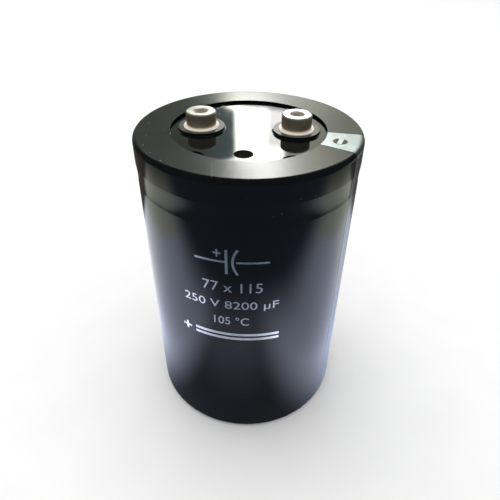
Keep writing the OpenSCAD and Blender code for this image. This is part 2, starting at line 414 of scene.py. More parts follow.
def new_group(name: str, inputs: dict[str, float],
              outputs: Sequence[str]) -> tuple[Nodes, bpy.types.Node, bpy.types.Node]:
    """Starts a shader node group.

    Args:
        name: Name of the group.
        inputs: Each number input with its default.
        outputs: The number outputs.

    Returns:
        The group's builder, its input node and its output node.
    """
    tree = bpy.data.node_groups.new(name, "ShaderNodeTree")
    for label, default in inputs.items():
        socket = tree.interface.new_socket(label, in_out="INPUT", socket_type="NodeSocketFloat")
        socket.default_value = default
    for label in outputs:
        tree.interface.new_socket(label, in_out="OUTPUT", socket_type="NodeSocketFloat")
    return Nodes(tree), tree.nodes.new("NodeGroupInput"), tree.nodes.new("NodeGroupOutput")


class Effect(Enum):
    """The effects that several materials share, each a shader node group."""

    DUST = "settled_dust"
    GRAIN = "fine_grain"
    RINGS = "turning_marks"
    DRAW = "draw_lines"


def build_dust() -> bpy.types.NodeTree:
    """Small pale specks that lie in uneven patches; Share says how many of them show.

    Returns:
        The group.
    """
    make, given, out = new_group(Effect.DUST.value, {"Scale": 600, "Share": 0.5}, ["Mask"])
    place = make.coordinates()
    cells = make.add("TexVoronoi", {"Vector": place, "Scale": given.outputs["Scale"],
                                    "Randomness": 1.0}, feature="F1")
    speck = make.span(cells.outputs["Distance"], 0.02, 0.07, 1, 0)
    draw = make.add("SeparateColor", {"Color": cells.outputs["Color"]}).outputs[0]
    chosen = make.math("LESS_THAN", draw, given.outputs["Share"])
    patch = make.add("TexNoise", {"Vector": place, "Scale": 60, "Detail": 2})
    lies = make.span(patch.outputs["Fac"], 0.45, 0.62)
    make.feed(out.inputs["Mask"], make.times(speck, chosen, lies))
    return make.tree


def build_grain() -> bpy.types.NodeTree:
    """Fine even grain for moulded, rubber and rolled surfaces, with a slower unevenness.

    Returns:
        The group.
    """
    make, given, out = new_group(Effect.GRAIN.value, {"Scale": 3000, "Slow Scale": 90},
                                 ["Height", "Slow"])
    place = make.coordinates()
    fine = make.add("TexNoise", {"Vector": place, "Scale": given.outputs["Scale"],
                                 "Detail": 3, "Roughness": 0.6})
    slow = make.add("TexNoise", {"Vector": place, "Scale": given.outputs["Slow Scale"],
                                 "Detail": 2})
    make.feed(out.inputs["Height"], fine.outputs["Fac"])
    make.feed(out.inputs["Slow"], slow.outputs["Fac"])
    return make.tree


def build_rings() -> bpy.types.NodeTree:
    """Marks of a turning tool round the axis at Axis X: bands in radius and in height.

    Returns:
        The group.
    """
    make, given, out = new_group(Effect.RINGS.value, {"Axis X": 0, "Pitch": 0.0001},
                                 ["Height", "Tone"])
    x, y, z = make.parts(make.coordinates())
    radius = make.reach(make.minus(x, given.outputs["Axis X"]), y)
    steps = make.math("DIVIDE", make.plus(radius, z), given.outputs["Pitch"])
    bands = make.add("TexNoise", {"W": steps, "Scale": 1.0, "Detail": 3, "Roughness": 0.7},
                     noise_dimensions="1D")
    slow = make.add("TexNoise", {"W": steps, "Scale": 0.12, "Detail": 1}, noise_dimensions="1D")
    make.feed(out.inputs["Height"], bands.outputs["Fac"])
    make.feed(out.inputs["Tone"], slow.outputs["Fac"])
    return make.tree


def build_draw() -> bpy.types.NodeTree:
    """Lines that run with the drawn or shrunk wall: up the side and outwards on the ends.

    Returns:
        The group.
    """
    make, given, out = new_group(Effect.DRAW.value, {"Lines": 260, "Run": 20}, ["Height", "Slow"])
    x, y, z = make.parts(make.coordinates())
    turn = make.math("ARCTAN2", y, x)
    along = make.minus(z, make.reach(x, y))
    where = make.add("CombineXYZ", {
        "X": make.times(make.math("COSINE", turn), given.outputs["Lines"]),
        "Y": make.times(make.math("SINE", turn), given.outputs["Lines"]),
        "Z": make.times(along, given.outputs["Run"])}).outputs[0]
    lines = make.add("TexNoise", {"Vector": where, "Scale": 0.25, "Detail": 4, "Roughness": 0.55})
    slow = make.add("TexNoise", {"Vector": where, "Scale": 0.035, "Detail": 2})
    make.feed(out.inputs["Height"], lines.outputs["Fac"])
    make.feed(out.inputs["Slow"], slow.outputs["Fac"])
    return make.tree


BUILDERS: dict[Effect, Callable[[], bpy.types.NodeTree]] = {
    Effect.DUST: build_dust, Effect.GRAIN: build_grain,
    Effect.RINGS: build_rings, Effect.DRAW: build_draw}


@dataclass
class Effects:
    """The shared node groups, each built once.

    Attributes:
        built: The groups that are there already.
    """

    built: dict[Effect, bpy.types.NodeTree] = field(default_factory=dict)

    def place(self, make: Nodes, effect: Effect,
              **values: float) -> dict[str, bpy.types.NodeSocket]:
        """Puts an effect's group into a material.

        Args:
            make: The material's builder.
            effect: The effect.
            **values: Its inputs, with underscores for spaces.

        Returns:
            The group's outputs by name.
        """
        if effect not in self.built:
            self.built[effect] = BUILDERS[effect]()
        node = make.tree.nodes.new("ShaderNodeGroup")
        node.node_tree = self.built[effect]
        for name, value in values.items():
            node.inputs[name.replace("_", " ")].default_value = value
        return dict(node.outputs.items())


EFFECTS = Effects()


# ---------------------------------------------------------------- finishes

# The span in which most of a noise lies, and a shorter one for a harder contrast.
DRIFT: Edge = (0.3, 0.7)
HARD_DRIFT: Edge = (0.35, 0.65)


class Surface(NamedTuple):
    """What a finish feeds to its shader.

    Attributes:
        colour: The base colour.
        rough: The roughness.
        height: The bump's height, from 0 to 1.
    """

    colour: object
    rough: object
    height: object


class Cover(NamedTuple):
    """Something that lies on a surface here and there.

    Attributes:
        mask: Where it lies.
        share: How much of the surface's colour it hides.
        colour: Its own colour.
        rough: What it adds to the roughness.
    """

    mask: object
    share: float
    colour: Colour
    rough: float


@dataclass(frozen=True)
class Finish:
    """What every finish has: a name, a colour and the shader's plain values.

    Attributes:
        name: The material's name.
        colour: Linear base colour.
        rough: Middle value of the roughness.
        metal: How much of a metal the surface is, from 0 to 1.
        ior: Index of refraction.
        depth: What a bump of height 1 measures, in millimetres.
        uneven: How far the roughness drifts below and above its middle value.
    """

    name: str
    colour: Colour
    rough: float
    metal: float = 0.0
    ior: float = 1.5
    depth: float = 0.01
    uneven: Edge = (0.06, 0.06)

    def build(self) -> bpy.types.Material:
        """Makes the material.

        Returns:
            The material.
        """
        material = bpy.data.materials.new(self.name)
        material.use_nodes = True
        material.diffuse_color = rgba(self.colour)
        make = Nodes(material.node_tree)
        shader = material.node_tree.nodes["Principled BSDF"].inputs
        shader["Metallic"].default_value = self.metal
        shader["IOR"].default_value = self.ior
        surface = self.surface(make, shader)
        bump = make.add("Bump", {"Height": surface.height, "Distance": self.depth * MM,
                                 "Strength": 1.0})
        make.feed(shader["Base Color"], surface.colour)
        make.feed(shader["Roughness"], surface.rough)
        make.feed(shader["Normal"], bump.outputs["Normal"])
        return material

    def surface(self, make: Nodes, shader: bpy.types.NodeInputs) -> Surface:
        """Makes what the finish feeds to its shader.

        Args:
            make: The material's builder.
            shader: The shader's inputs, for the values that only this finish sets.

        Returns:
            The surface.
        """
        raise NotImplementedError

    def shades(self, make: Nodes, amount: object, dark: float, light: float = 1) -> object:
        """The colour as it goes from a dark to a light shade of itself.

        Args:
            make: The material's builder.
            amount: How far it has gone, from 0 to 1.
            dark: Share of the colour at the start.
            light: Share of the colour at the end.

        Returns:
            The colour's socket.
        """
        first, last = (tuple(min(1, c * share) for c in self.colour) for share in (dark, light))
        return make.blend(amount, first, last)

    def drift(self, make: Nodes, noise: object) -> object:
        """The roughness as it drifts with a noise.

        Args:
            make: The material's builder.
            noise: The noise.

        Returns:
            The roughness's socket.
        """
        down, up = self.uneven
        return make.span(noise, *DRIFT, self.rough - down, self.rough + up)

    def strokes(self, make: Nodes, place: object, lines: Iterable[Stroke],
                width: float = 0.17) -> object:
        """A mask that is 1 along thin lines that run flat over a level face.

        Args:
            make: The material's builder.
            place: Object coordinates.
            lines: First and last point of each line, in millimetres.
            width: Half of a line's width, in millimetres.

        Returns:
            The mask's socket.
        """
        masks = []
        soft = 0.3
        for x, y, far_x, far_y in lines:
            length = math.hypot(far_x - x, far_y - y)
            turn = math.atan2(far_y - y, far_x - x)
            line = make.add("Mapping", {"Vector": place, "Location": (x * MM, y * MM, 0),
                                        "Rotation": (0, 0, turn)}, vector_type="TEXTURE")
            along, beside, _ = make.parts(line.outputs[0])
            masks.append(make.times(
                make.span(make.math("ABSOLUTE", beside), width * 0.25 * MM, width * MM, 1, 0),
                make.span(along, -soft * MM, soft * MM),
                make.span(along, (length - soft) * MM, (length + soft) * MM, 1, 0)))
        return make.most(0.0, *masks)


@dataclass(frozen=True)
class FilmFinish(Finish):
    """Shrink film: satin, with faint lines where it was drawn tight, creases with a painted
    highlight along them, and some specks.

    Attributes:
        top_rough: Roughness of the top ring.
        top_edge: Heights between which the wall's roughness gives way to the ring's.
        level: Height of the top ring, in millimetres.
        creases: First and last point of each fold on the top ring, in millimetres.
        specks: Place and radius of each pale speck on the top ring, in millimetres.
        pale: Colour of the dust, the specks and the painted highlight along the folds.
        dust_pale: Share of that colour in the dust.
        fold_highlight: Share of it in the folds.
        speck_pale: Share of it in the specks.
        pale_rough: What it adds to the roughness.
        lines: Height of the drawn lines on the wall and on the top ring.
        slow_lines: Height of their slower waves.
        grain: Height of the grain.
        folds: Height of the folds.
    """

    depth: float = 0.006
    uneven: Edge = (0.02, 0.02)
    top_rough: float = 0.195
    top_edge: Edge = (114.6, 115.3)
    level: float = 115.4
    creases: tuple[Stroke, ...] = ()
    specks: tuple[tuple[float, float, float], ...] = ()
    pale: Colour = (0.42, 0.43, 0.42)
    dust_pale: float = 0.55
    fold_highlight: float = 0.09
    speck_pale: float = 0.7
    pale_rough: float = 0.4
    lines: tuple[float, float] = (0.6, 1.6)
    slow_lines: float = 0.9
    grain: float = 0.12
    folds: float = 0.5

    def surface(self, make: Nodes, shader: bpy.types.NodeInputs) -> Surface:
        """Makes the film's surface.

        Args:
            make: The material's builder.
            shader: The shader's inputs.

        Returns:
            The surface.
        """
        draw = EFFECTS.place(make, Effect.DRAW, Lines=330, Run=22)
        grain = EFFECTS.place(make, Effect.GRAIN, Scale=2600, Slow_Scale=45)
        dust = EFFECTS.place(make, Effect.DUST, Scale=420, Share=0.35)
        place = make.coordinates()
        top = make.span(make.parts(place)[2], *(z * MM for z in self.top_edge))
        fold = make.times(self.strokes(make, place, self.creases), top)
        # The pale colour is real dust and specks, plus a painted highlight along the folds.
        pale = make.most(make.times(dust["Mask"], self.dust_pale),
                         make.times(fold, self.fold_highlight), *self.spots(make, place))
        rough = make.plus(self.drift(make, grain["Slow"]),
                          make.times(top, self.top_rough - self.rough),
                          make.times(pale, self.pale_rough))
        height = make.plus(make.times(draw["Height"], make.span(top, 0, 1, *self.lines)),
                           make.times(grain["Height"], self.grain),
                           make.times(draw["Slow"], self.slow_lines),
                           make.times(fold, self.folds))
        return Surface(make.blend(pale, self.colour, self.pale), rough, height)

    def spots(self, make: Nodes, place: object) -> list[object]:
        """How pale each speck is.

        Args:
            make: The material's builder.
            place: Object coordinates.

        Returns:
            A socket for each speck.
        """
        masks = []
        for x, y, radius in self.specks:
            middle = (x * MM, y * MM, self.level * MM)
            away = make.add("VectorMath", {0: place, 1: middle}, operation="DISTANCE")
            masks.append(make.span(away.outputs["Value"], radius * 0.4 * MM, radius * MM,
                                   self.speck_pale, 0))
        return masks


@dataclass(frozen=True)
class InkFinish(Finish):
    """Silver printing ink: thin, part metal, slightly mottled and a little worn.

    Attributes:
        mottle: How much darker the worn places are.
        edge: Tint of what the ink mirrors at a flat angle.
    """

    metal: float = 0.85
    depth: float = 0.008
    mottle: float = 0.1
    edge: float = 1.0

    def surface(self, make: Nodes, shader: bpy.types.NodeInputs) -> Surface:
        """Makes the ink's surface.

        Args:
            make: The material's builder.
            shader: The shader's inputs.

        Returns:
            The surface.
        """
        shader["Specular Tint"].default_value = rgba((self.edge,) * 3)
        grain = EFFECTS.place(make, Effect.GRAIN, Scale=5000, Slow_Scale=260)
        draw = EFFECTS.place(make, Effect.DRAW, Lines=330, Run=22)
        colour = self.shades(make, make.span(grain["Slow"], *HARD_DRIFT), 1 - self.mottle)
        height = make.plus(make.times(draw["Height"], 0.5), make.times(grain["Height"], 0.2))
        return Surface(colour, self.drift(make, grain["Height"]), height)


@dataclass(frozen=True)
class MouldedFinish(Finish):
    """Moulded plastic or rubber: a base colour with faint flow, fine grain and some dust.

    Attributes:
        slow: How much the colour drifts over the surface.
        slow_rough: Share of the roughness by which it drifts.
        dust: Share of the specks that show.
        gloss: How strongly the surface mirrors.
        hairs: First and last point of each hair of lint that lies on the face, in millimetres.
        pads: Height over which the faces are matt and painted a paler grey as a sheen, in
            millimetres, or 0 for none.
    """

    slow: float = 0.15
    slow_rough: float = 0.2
    dust: float = 0.0
    gloss: float = 0.5
    hairs: tuple[Stroke, ...] = ()
    pads: float = 0

    def surface(self, make: Nodes, shader: bpy.types.NodeInputs) -> Surface:
        """Makes the moulding's surface.

        Args:
            make: The material's builder.
            shader: The shader's inputs.

        Returns:
            The surface.
        """
        shader["Specular IOR Level"].default_value = self.gloss
        grain = EFFECTS.place(make, Effect.GRAIN, Scale=1800, Slow_Scale=70)
        flow = make.span(grain["Slow"], *DRIFT)
        colour = self.shades(make, flow, 1 - self.slow, 1 + self.slow)
        rough = make.span(grain["Slow"], *DRIFT, self.rough - self.rough * self.slow_rough,
                          self.rough + self.rough * self.slow_rough)
        for mask, share, own, more in self.covers(make):
            colour = make.blend(make.times(mask, share), colour, own)
            rough = make.plus(rough, make.times(mask, more))
        height = make.plus(grain["Height"], make.times(grain["Slow"], 2.0))
        return Surface(colour, rough, height)

    def covers(self, make: Nodes) -> list[Cover]:
        """The dust, the matt pads with their painted sheen and the lint, as far as the moulding
        has them.

        Args:
            make: The material's builder.

        Returns:
            A cover for each.
        """
        covers = []
        if self.dust > 0:
            dust = EFFECTS.place(make, Effect.DUST, Scale=380, Share=self.dust)
            covers.append(Cover(dust["Mask"], 0.5, (0.4, 0.4, 0.38), 0.3))
        # Matt pads: their added roughness is real, their paler grey is a painted sheen.
        if self.pads > 0:
            z = make.parts(make.coordinates())[2]
            sheen_pad = make.span(z, (self.pads - 0.03) * MM, (self.pads - 0.01) * MM)
            covers.append(Cover(sheen_pad, 1.0, (0.045, 0.045, 0.042), 0.3))
        if self.hairs:
            lint = self.strokes(make, make.coordinates(), self.hairs, 0.11)
            covers.append(Cover(lint, 1.0, (0.55, 0.55, 0.53), 0.7))
        return covers


@dataclass(frozen=True)
class TurnedFinish(Finish):
    """Turned aluminium: tool marks round the axis, a browner wall and a matt foot painted pale as
    a highlight.

    Attributes:
        axis_x: Where the turning axis stands on X, in millimetres.
        pitch: Distance of the tool marks, in millimetres.
        foot: Height under which the metal is matt and painted pale as a highlight, in millimetres.
        foot_highlight_tint: What stands for the wall's tint there.
        wall_r: Radius of the post's wall, in millimetres.
        wall_tint: What the brown tint on the post's outer wall leaves of the colour; the wall is
            browner and darker than the top.
        bore_edge: Radii between which the hole's matter metal ends, in millimetres.
        bore_matt: How matt the metal is in the hole, from 0 to 1.
    """

    metal: float = 0.93
    depth: float = 0.004
    uneven: Edge = (0.07, 0.07)
    axis_x: float = 0
    pitch: float = 0.09
    foot: float = 0
    foot_highlight_tint: Colour = (1.06, 1.04, 1.02)
    wall_r: float = 5.0
    wall_tint: Colour = (0.98, 0.86, 0.70)
    bore_edge: Edge = (2.6, 2.7)
    bore_matt: float = 0.3

    def surface(self, make: Nodes, shader: bpy.types.NodeInputs) -> Surface:
        """Makes the turned metal's surface.

        Args:
            make: The material's builder.
            shader: The shader's inputs.

        Returns:
            The surface.
        """
        rings = EFFECTS.place(make, Effect.RINGS, Axis_X=self.axis_x * MM, Pitch=self.pitch * MM)
        grain = EFFECTS.place(make, Effect.GRAIN, Scale=2400, Slow_Scale=300)
        x, y, z = make.parts(make.coordinates())
        radius = make.reach(make.minus(x, self.axis_x * MM), y)
        bore = make.span(radius, *(r * MM for r in self.bore_edge), 1, 0)
        low = make.span(z, (self.foot - 0.05) * MM, (self.foot + 0.1) * MM, 1, 0)
        wall = make.times(make.span(radius, (self.wall_r - 0.12) * MM, (self.wall_r - 0.04) * MM),
                          make.minus(1.0, low))
        matt = make.most(make.times(bore, self.bore_matt), low)
        make.feed(shader["Metallic"], make.times(make.minus(1.0, matt), self.metal))
        tone = make.times(make.span(rings["Tone"], *DRIFT, 0.5, 1),
                          make.span(grain["Slow"], 0.25, 0.6, 0.5, 1))
        # Painted highlight: the foot is matt and paler, standing in for the light on the flange;
        # the outer wall is tinted browner.
        tint = make.blend(low, make.blend(wall, WHITE, self.wall_tint), self.foot_highlight_tint)
        tinted = make.add("VectorMath", {0: self.shades(make, tone, 0.8), 1: tint},
                          operation="MULTIPLY")
        height = make.plus(rings["Height"], make.times(grain["Height"], 0.35))
        return Surface(tinted.outputs["Vector"], self.drift(make, grain["Slow"]), height)


@dataclass(frozen=True)
class DrawnFinish(Finish):
    """Drawn or rolled aluminium: fine lines with the drawing and a satin sheen."""

    metal: float = 1.0
    depth: float = 0.012
    uneven: Edge = (0.06, 0.08)

    def surface(self, make: Nodes, shader: bpy.types.NodeInputs) -> Surface:
        """Makes the drawn metal's surface.

        Args:
            make: The material's builder.
            shader: The shader's inputs.

        Returns:
            The surface.
        """
        draw = EFFECTS.place(make, Effect.DRAW, Lines=900, Run=8)
        grain = EFFECTS.place(make, Effect.GRAIN, Scale=2400, Slow_Scale=60)
        colour = self.shades(make, make.span(draw["Height"], *HARD_DRIFT), 0.86)
        return Surface(colour, self.drift(make, grain["Slow"]), draw["Height"])


@dataclass(frozen=True)
class WoundFinish(Finish):
    """The winding's paper and foil: layers round the axis on its ends, a soft wall outside.

    Attributes:
        layer: Thickness of one visible layer, in millimetres.
    """

    depth: float = 0.03
    uneven: Edge = (0.1, 0.1)
    layer: float = 0.35

    def surface(self, make: Nodes, shader: bpy.types.NodeInputs) -> Surface:
        """Makes the winding's surface.

        Args:
            make: The material's builder.
            shader: The shader's inputs.

        Returns:
            The surface.
        """
        rings = EFFECTS.place(make, Effect.RINGS, Axis_X=0.0, Pitch=self.layer * MM)
        grain = EFFECTS.place(make, Effect.GRAIN, Scale=1500, Slow_Scale=120)
        colour = self.shades(make, make.span(rings["Height"], *HARD_DRIFT), 0.55)
        height = make.plus(rings["Height"], grain["Height"])
        return Surface(colour, self.drift(make, grain["Slow"]), height)


# ---------------------------------------------------------------- sub-assemblies


FRAME: dict[str, dict[str, bpy.types.Object]] = {}


def cad_node(name: str) -> bpy.types.Object:
    """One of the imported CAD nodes."""
    return FRAME["nodes"][name]


def dress(piece: bpy.types.Object, material: bpy.types.Material) -> None:
    """Gives a piece one material all over."""
    piece.data.materials.clear()
    piece.data.materials.append(material)


def finished(piece: bpy.types.Object, name: str, material: bpy.types.Material, slot: str,
             *nodes: str) -> None:
    """Names and dresses a new piece and lets it ride on the part.

    Args:
        piece: The new piece.
        name: Its name.
        material: What it is dressed in.
        slot: The record's material slot; not used.
        *nodes: The CAD nodes that it stands for.
    """
    piece.name = piece.data.name = name
    dress(piece, material)
    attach(piece, BODY)
    if nodes:
        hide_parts(*nodes)
    LOG.info("piece %s: %d faces", piece.name, len(piece.data.polygons))


@dataclass
class ShrinkSleeve:
    """The black film round the can, with the silver stripe that is printed on it.

    The sizes repeat the part's own. Lengths are in millimetres.

    Attributes:
        body_r: Inside radius of the film along the straight wall.
        rim_r: Inside radius above the bead.
        film: Thickness of the film.
        hem_r: Radius of the edge that is folded under the can.
        hem_arc: Inside radius of the corner at the bottom.
        fold_r: Radius of the edge that lies on the top.
        can_top: Height of the can's rim.
        curl_r: Inside radius of the corner at the top.
        bead_z: Height of the bead's middle.
        lip_low: From there down to where the film starts to sink.
        lip_high: From there up to where it is back on the wall.
        fall: Slope of the film where it sinks over the bead.
        climb: Slope where it comes out again.
        rows: Number of steps of the outline over the bead.
        turns: Number of steps round the can.
        beside: How far from a bend a point stands that keeps the shading beside it flat.
        ink: Thickness of the stripe's ink.
        sunk: How deep the stripe reaches into the film.
        stripe_az: Direction of the stripe's middle, in degrees.
        stripe_span: Angle over which it reaches, in degrees.
        stripe_steps: Number of its steps round the can.
        stripe_z: Height where it starts.
        finish: Finish of the film.
        ink_finish: Finish of the stripe.
    """

    body_r: float = 38.0
    rim_r: float = 38.2
    film: float = 0.3
    hem_r: float = 33.3
    hem_arc: float = 2.0
    fold_r: float = 26.3
    can_top: float = 115.1
    curl_r: float = 1.5
    bead_z: float = 103.6
    lip_low: float = 3.666
    lip_high: float = 3.747
    fall: float = 0.1
    climb: float = 0.085
    rows: int = 30
    turns: int = 360
    beside: float = 0.15
    ink: float = 0.05
    sunk: float = 0.02
    stripe_az: float = -16.1
    stripe_span: float = 22.0
    stripe_steps: int = 22
    stripe_z: float = 4.0
    finish: FilmFinish = FilmFinish(
        "shrink_film", (0.0022, 0.003, 0.004), 0.13, ior=1.52,
        creases=((-8.5, -27.9, -7.2, -36.6), (-36.1, -6.86, -26.9, -5.18)),
        specks=((-31.19, -17.89, 0.26), (-27.70, -22.97, 0.2), (-33.89, -0.06, 0.2),
                (-32.26, -10.21, 0.18), (26.04, -25.51, 0.28), (-23.4, -27.9, 0.22)))
    ink_finish: InkFinish = InkFinish("silver_stripe", (0.66, 0.72, 0.79), 0.28, metal=1.0,
                                      edge=0.4)

    def build(self) -> None:
        """Makes the film and the stripe."""
        film = turned(self.line(self.film) + self.line(0)[::-1], self.turns)
        settle(film)
        finished(film, "sleeve_film", self.finish.build(), "sleeve_film", "sleeve")
        outside = self.line(self.film + self.ink, self.stripe_z)
        inside = self.line(self.film - self.sunk, self.stripe_z)
        stripe = turned(outside + inside[::-1], self.stripe_steps,
                        self.stripe_az - self.stripe_span / 2, self.stripe_span)
        settle(stripe)
        finished(stripe, "stripe_print", self.ink_finish.build(), "stripe_ink", "polarity_stripe")

    def line(self, out: float, low: float | None = None) -> Outline:
        """The film's outline at a distance outside the can.

        Args:
            out: That distance, in millimetres.
            low: Height where the line starts, or None to start under the can.

        Returns:
            The points from below to the fold's edge on the top.
        """
        wall_r, top_r, top_z = self.body_r + out, self.rim_r + out, self.can_top + out
        sink_z, sink = self.bead_z - self.lip_low, self.lip_low + self.lip_high
        curl_x, curl_z = self.rim_r - self.curl_r, self.can_top - self.curl_r
        if low is None:
            corner = (self.body_r - self.hem_arc, self.film + self.hem_arc)
            points = [(self.hem_r, self.film - out)]
            points += arc(corner, self.hem_arc + out, -90, 0, 10)
            points.append((wall_r, corner[1] + self.beside))
        else:
            points = [(wall_r, low)]
        points.append((wall_r, sink_z - self.beside))
        points += [(self.inside_at(i / self.rows) + out, sink_z + sink * i / self.rows)
                   for i in range(self.rows + 1)]
        points += [(top_r, sink_z + sink + self.beside), (top_r, curl_z - 0.1)]
        points += arc((curl_x, curl_z), self.curl_r + out, 0, 90, 18)
        return points + [(curl_x - 0.1, top_z), (self.fold_r, top_z)]

    def inside_at(self, share: float) -> float:
        """Radius of the film's inside where it sinks over the bead.

        Args:
            share: How far up the bead, from 0 below to 1 above.

        Returns:
            The radius, in millimetres.
        """
        length = self.lip_low + self.lip_high
        bend = self.fall + self.climb
        power = bend / (self.climb - (self.rim_r - self.body_r) / length)
        sunk = bend * (1 - (1 - share) ** power) / power
        return self.body_r + length * (self.climb * share - sunk)


@dataclass
class MinusMark:
    """The round minus mark that is left open in the stripe, on the top ring.

    Lengths are in millimetres.

    Attributes:
        radius: Radius of the dark disc.
        at_r: Distance of its middle from the can's axis.
        azimuth: Direction of its middle, in degrees.
        top: Height of its middle.
        thick: Thickness of the disc and of the bar.
        lift: How much higher the bar lies.
        bar: Width and length of the pale bar.
        ground_finish: Finish of the disc.
        bar_finish: Finish of the bar.
    """

    radius: float = 2.3
    at_r: float = 31.2
    azimuth: float = -17.5
    top: float = 115.45
    thick: float = 0.03
    lift: float = 0.02
    bar: tuple[float, float] = (1.5, 4.1)
    ground_finish: MouldedFinish = MouldedFinish("mark_ground", (0.02, 0.02, 0.018), 0.4,
                                                 depth=0.004, gloss=0.2)
    bar_finish: InkFinish = InkFinish("mark_bar", (0.62, 0.67, 0.72), 0.32)

    def build(self) -> None:
        """Makes the dark disc and its pale bar."""
        turn = math.radians(self.azimuth)
        place = (direction(turn) * self.at_r + Vector((0, 0, self.top))) * MM
        deselect_all()
        bpy.ops.mesh.primitive_cylinder_add(vertices=64, radius=self.radius * MM,
                                            depth=self.thick * MM, location=place)
        self.finish_flat("minus_mark_disc", 0.008, self.ground_finish, "sleeve_film")
        deselect_all()
        bpy.ops.mesh.primitive_cube_add(size=1, location=place + Vector((0, 0, self.lift * MM)),
                                        rotation=(0, 0, turn),
                                        scale=Vector((*self.bar, self.thick)) * MM)
        self.finish_flat("minus_mark_bar", 0.006, self.bar_finish, "stripe_ink")

    def finish_flat(self, name: str, bevel: float, finish: Finish, slot: str) -> None:
        """Bevels the active piece and finishes it.

        Args:
            name: Name of the piece.
            bevel: Width of the bevel, in millimetres.
            finish: Its finish.
            slot: The record's material slot.
        """
        piece = bpy.context.object
        apply_modifier(piece, "BEVEL", width=bevel * MM, segments=1)
        settle(piece)
        finished(piece, name, finish.build(), slot)


@dataclass(frozen=True)
class PrintedLine:
    """A line of plain figures printed round the sleeve. Lengths are in millimetres.

    Attributes:
        words: The figures.
        azimuth: Direction of the line's middle, in degrees.
        height: Height of its middle above the bottom.
        width: Length along the sleeve.
        tall: Height of its figures.
    """

    words: str
    azimuth: float
    height: float
    width: float
    tall: float


